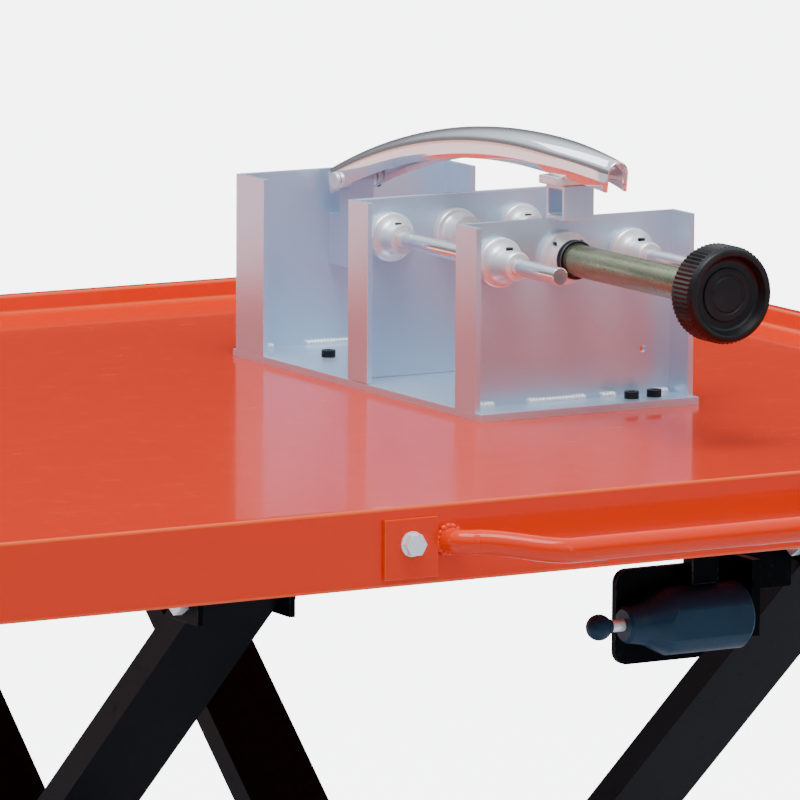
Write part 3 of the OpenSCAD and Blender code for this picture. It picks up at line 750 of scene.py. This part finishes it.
# %% Cast bushes and collars
BUSH_SECTION = [
    (-28, 6.1), (-28, 8.8), (-26.8, 10), (-13, 10), (-10.4, 10.5), (-8.3, 11.9), (-6.9, 14.1), (-6.2, 16.1),
    (-5.2, 17), (-0.4, 17), (0, 16.6), (0, 6.1),
]


def boss(shape, x, face_y, neck, bore, length):
    """One boss whose flange sits on a face at face_y; the casting's section is stretched to its neck."""
    section = []
    for along, radius in BUSH_SECTION:
        wider = bore if radius == 6.1 else max(radius, neck - 1.2 if along < -27 else neck)
        section.append((max(along, -length) if along < -26 else along, wider))
    turned(shape, section, (x, face_y, SCREW_Z), steps=48, closed=True)


bushes = bmesh.new()
for x in ROD_X:
    boss(bushes, x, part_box("guide_bushes")[1].y - 4 * MM, 10, 6.1, 28)
finished(bushes, "guide_bushes_cast", "table", "zinc", ["guide_bushes"])
collars = bmesh.new()
for x, neck, bore in [(ROD_X[0], 10, 6.1), (SCREW_X, 13, 8.1), (ROD_X[1], 10, 6.1)]:
    boss(collars, x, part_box("rod_collars")[1].y, neck, bore, 20)
finished(collars, "rod_collars_cast", "jaw", "zinc", ["rod_collars"])
print("bosses cast")

# %% [markdown]
# ## The handwheel
# The wheel is moulded with a ring of fine ridges for grip and a dished face. It is turned first, with
# four steps to every ridge, and then the vertices of its rim are pushed in and out by a cosine of their
# angle.

# %% Mould the handwheel
RIDGES = 64


def handwheel():
    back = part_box("handwheel")[1].y
    section = [
        (0, 11.1), (0, 28.6), (0.8, 30.4), (2.4, 31.6), (2.8, 32.5), (7, 32.5), (12, 32.5), (17, 32.5),
        (21.4, 32.5), (21.9, 31.7), (23.6, 31.3), (25.2, 30.3), (26, 28.7), (26, 27.6), (25.4, 26.4),
        (22.6, 24.9), (20.2, 23.8), (19.2, 22.4), (19, 20.4), (19, 0),
    ]
    shape = bmesh.new()
    centre = Vector((SCREW_X, back, SCREW_Z))
    turned(shape, section, centre, axis=(0, -1, 0), steps=4 * RIDGES)
    for vert in shape.verts:
        arm = vert.co - centre
        radius = hypot(arm.x, arm.z)
        if radius > 32.2 * MM:
            angle = atan2(arm.z, arm.x)
            pressed = radius - (0.5 - 0.5 * cos(RIDGES * angle)) * 1.0 * MM
            vert.co.x = centre.x + arm.x / radius * pressed
            vert.co.z = centre.z + arm.z / radius * pressed
    return finished(shape, "handwheel_moulded", "spindle", "wheel_plastic", ["handwheel"])


wheel = handwheel()
cap = bmesh.new()
cap_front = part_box("wheel_cap")[0].y
turned(
    cap, [(1.6, 0), (1.6, 17.4), (1.2, 18), (0.9, 18), (0.35, 17.5), (0.1, 16.5), (0.1, 13.4), (0.55, 12.8),
          (0.55, 11.8), (0.1, 11.2), (0, 6), (0, 0)],
    (SCREW_X, cap_front, SCREW_Z), steps=64,
)
finished(cap, "wheel_cap_moulded", "spindle", "wheel_plastic", ["wheel_cap"])
print("handwheel faces:", len(wheel.data.polygons))

# %% [markdown]
# ## The clamping screw
# A thread is one tooth of its section, spun many turns while it also moves along the axis, one pitch a
# turn. It is left-handed, so turning the wheel clockwise closes the jaw. The two ragged ends are cut
# square with planes and filled. Behind the jaw's collar the bar is plain.

# %% Cut the thread
PITCH = 5.0


def clamping_screw():
    low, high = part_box("jaw_screw")
    plain_from = high.y - 30 * MM
    tooth = [(0, 6.5), (1.1, 6.5), (1.75, 7.8), (2.1, 7.95), (2.9, 7.95), (3.25, 7.8), (3.9, 6.5), (5, 6.5)]
    around = 28
    turns = int((plain_from - low.y) / (PITCH * MM)) + 3
    shape = bmesh.new()
    start = Vector((SCREW_X, low.y - PITCH * MM, SCREW_Z))
    points = [shape.verts.new(start + Vector((0, a, r)) * MM) for a, r in tooth]
    chain = [shape.edges.new(pair) for pair in zip(points, points[1:])]
    bmesh.ops.spin(
        shape, geom=points + chain, cent=start, axis=(0, 1, 0), angle=-2 * pi * turns,
        steps=around * turns, dvec=(0, PITCH * MM / around, 0), use_merge=False,
    )
    bmesh.ops.remove_doubles(shape, verts=shape.verts, dist=1e-5)
    for cut_y, way in [(low.y, -1), (plain_from, 1)]:
        bmesh.ops.bisect_plane(
            shape, geom=shape.verts[:] + shape.edges[:] + shape.faces[:], dist=1e-7,
            plane_co=(0, cut_y, 0), plane_no=(0, way, 0), clear_outer=True,
        )
    bmesh.ops.holes_fill(shape, edges=[e for e in shape.edges if e.is_boundary], sides=0)
    bmesh.ops.recalc_face_normals(shape, faces=shape.faces)
    turned(
        shape, [(0, 0), (0, 7.2), (0.8, 8), (29.4, 8), (30, 7.4), (30, 0)],
        (SCREW_X, plain_from, SCREW_Z), steps=48,
    )
    return finished(shape, "jaw_screw_threaded", "jaw", "chrome", ["jaw_screw"])


screw = clamping_screw()
print("screw faces:", len(screw.data.polygons))

# %% [markdown]
# ## The lever
# The lever is pressed from one strip: a domed crown, two walls bent down, and a nose that narrows
# towards the hand. Half a section is drawn at the pivot end and spun along the lever's own curve; then
# every station near the nose is squeezed sideways. Solidify gives the sheet its gauge.

# %% Press the lever
def pressed_lever():
    radius, arc_y, peak_z = 700 * MM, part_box("front_post")[0].y + 61 * MM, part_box("lever")[1].z
    centre = Vector((SCREW_X, arc_y, peak_z - radius))
    first, last = radians(68.1), radians(98.9)
    half, crown, wall, gauge = 16 * MM, 8 * MM, 13 * MM, 2 * MM
    across = [(-1, -crown - wall), (-1, -crown - wall / 2), (-1, -crown - 1.2 * MM)]
    across += [(-cos(pi * k / 14) * 0.985, -crown + crown * sin(pi * k / 14) ** 1.15) for k in range(1, 14)]
    across += [(-x, z) for x, z in reversed(across[:3])]
    shape = bmesh.new()
    spoke = Vector((0, cos(first), sin(first)))
    points = [
        shape.verts.new(centre + Vector((half * side, 0, 0)) + spoke * (radius + rise))
        for side, rise in across
    ]
    chain = [shape.edges.new(pair) for pair in zip(points, points[1:])]
    bmesh.ops.spin(
        shape, geom=points + chain, cent=centre, axis=(1, 0, 0), angle=last - first, steps=60,
        use_merge=False,
    )
    for vert in shape.verts:
        arm = vert.co - centre
        near_nose = (atan2(arm.z, arm.y) - (last - radians(6.5))) / radians(6.5)
        narrow = 1 - 0.36 * ease(near_nose) - 0.12 * max(0.0, near_nose) ** 8
        vert.co.x = centre.x + arm.x * narrow
    bmesh.ops.recalc_face_normals(shape, faces=shape.faces)
    top = max(shape.faces, key=lambda face: face.calc_center_median().z)
    if top.normal.z < 0:
        bmesh.ops.reverse_faces(shape, faces=shape.faces)
    return finished(shape, "lever_pressed", "lever", "chrome", ["lever"], wall=gauge)


lever = pressed_lever()
print("lever faces:", len(lever.data.polygons))

# %% [markdown]
# ## Weld beads
# The posts are tacked to the base plate with short stitches. A bead is a row of overlapping puddles, so
# each stitch is a row of small flattened balls, and no two are quite the same size.

# %% Lay the welds
def weld_beads():
    low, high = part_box("post_welds")
    feet = [low.y + 4 * MM, high.y]
    stitches = [(4, 20), (50, 92), (108, 118), (150, 158)]
    shape = bmesh.new()
    count = 0
    for foot_y in feet:
        for start, end in stitches:
            for k in range(int((end - start) / 2.6) + 1):
                wobble = sin(count * 12.9) * 0.5
                place = Vector((low.x + (start + 2.6 * k) * MM, foot_y - 1.3 * MM, low.z + 1.0 * MM))
                size = (2.9 + wobble * 0.5) * MM
                squash = Matrix.Diagonal((0.8, 0.95, 0.85, 1))
                bmesh.ops.create_icosphere(
                    shape, subdivisions=2, radius=size, matrix=Matrix.Translation(place) @ squash
                )
                count += 1
    return finished(shape, "weld_beads", "table", "zinc", ["post_welds"])


welds = weld_beads()
print("weld faces:", len(welds.data.polygons))

# %% [markdown]
# ## Ball and feet
# The lock's ball grip has a short neck where it screws on. The rubber feet are moulded sleeves with a
# ribbed tread, so the lathe section for them zigzags.

# %% Ball grip
ball = bmesh.new()
ball_low, ball_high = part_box("plunger_ball")
ball_centre = (ball_low + ball_high) / 2
ball_centre.x = ball_low.x + 8.5 * MM
ball_section = [(-8.5 * cos(pi * k / 20), 8.5 * sin(pi * k / 20)) for k in range(17)]
ball_section += [(7.3, 4.9), (8.4, 4.8), (8.4, 4.1), (6, 4.1), (6, 0)]
turned(ball, ball_section, ball_centre, axis=(1, 0, 0), steps=40)
finished(ball, "ball_grip", "plunger", "blue_paint", ["plunger_ball"])

# %% Rubber feet
feet = bmesh.new()
foot_low, foot_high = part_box("rubber_feet")
FOOT_RADIUS, FOOT_LONG = 19.0, 26.0
tread = [(0, 16.2), (0, 17.6), (0.8, 18.6)]
for k in range(5):
    tread += [(2.2 + 4.6 * k, 19), (4.4 + 4.6 * k, 19), (4.9 + 4.6 * k, 18.2), (6.3 + 4.6 * k, 18.2)]
tread = tread[:-2] + [(25.2, 18.6), (26, 17.6), (26, 16.2)]
for y in (foot_low.y + FOOT_RADIUS * MM, foot_high.y - FOOT_RADIUS * MM):
    for x in (foot_low.x, foot_high.x - FOOT_LONG * MM):
        turned(feet, tread, (x, y, FOOT_RADIUS * MM), axis=(1, 0, 0), steps=48, closed=True)
finished(feet, "rubber_feet_moulded", "table", "rubber", ["rubber_feet"])
print("ball and feet turned")

# %% [markdown]
# ## The lock's spring
# CAD holds the spring as separate rings. Here a small circle is spun as a helix, like the thread.

# %% Wind the spring
def coil_spring():
    low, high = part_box("lock_spring")
    wire, turns, around = 0.75 * MM, 7, 24
    middle = (low + high) / 2
    mean = (high.z - low.z) / 2 - wire
    rise = (high.x - low.x - 2 * wire) / turns
    start = Vector((low.x + wire, middle.y, middle.z))
    shape = bmesh.new()
    ring = bmesh.ops.create_circle(
        shape, segments=10, radius=wire,
        matrix=Matrix.Translation(start + Vector((0, 0, mean))) @ Matrix.Rotation(pi / 2, 4, "X"),
    )["verts"]
    chain = list({edge for vert in ring for edge in vert.link_edges})
    bmesh.ops.spin(
        shape, geom=ring + chain, cent=start, axis=(1, 0, 0), angle=2 * pi * turns, steps=around * turns,
        dvec=(rise / around, 0, 0), use_merge=False,
    )
    bmesh.ops.holes_fill(shape, edges=[e for e in shape.edges if e.is_boundary], sides=0)
    bmesh.ops.recalc_face_normals(shape, faces=shape.faces)
    piece = finished(shape, "lock_spring_coil", "table", SLOT_OF["lock_spring"], ["lock_spring"])
    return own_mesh(piece)


spring = coil_spring()
print("spring faces:", len(spring.data.polygons))
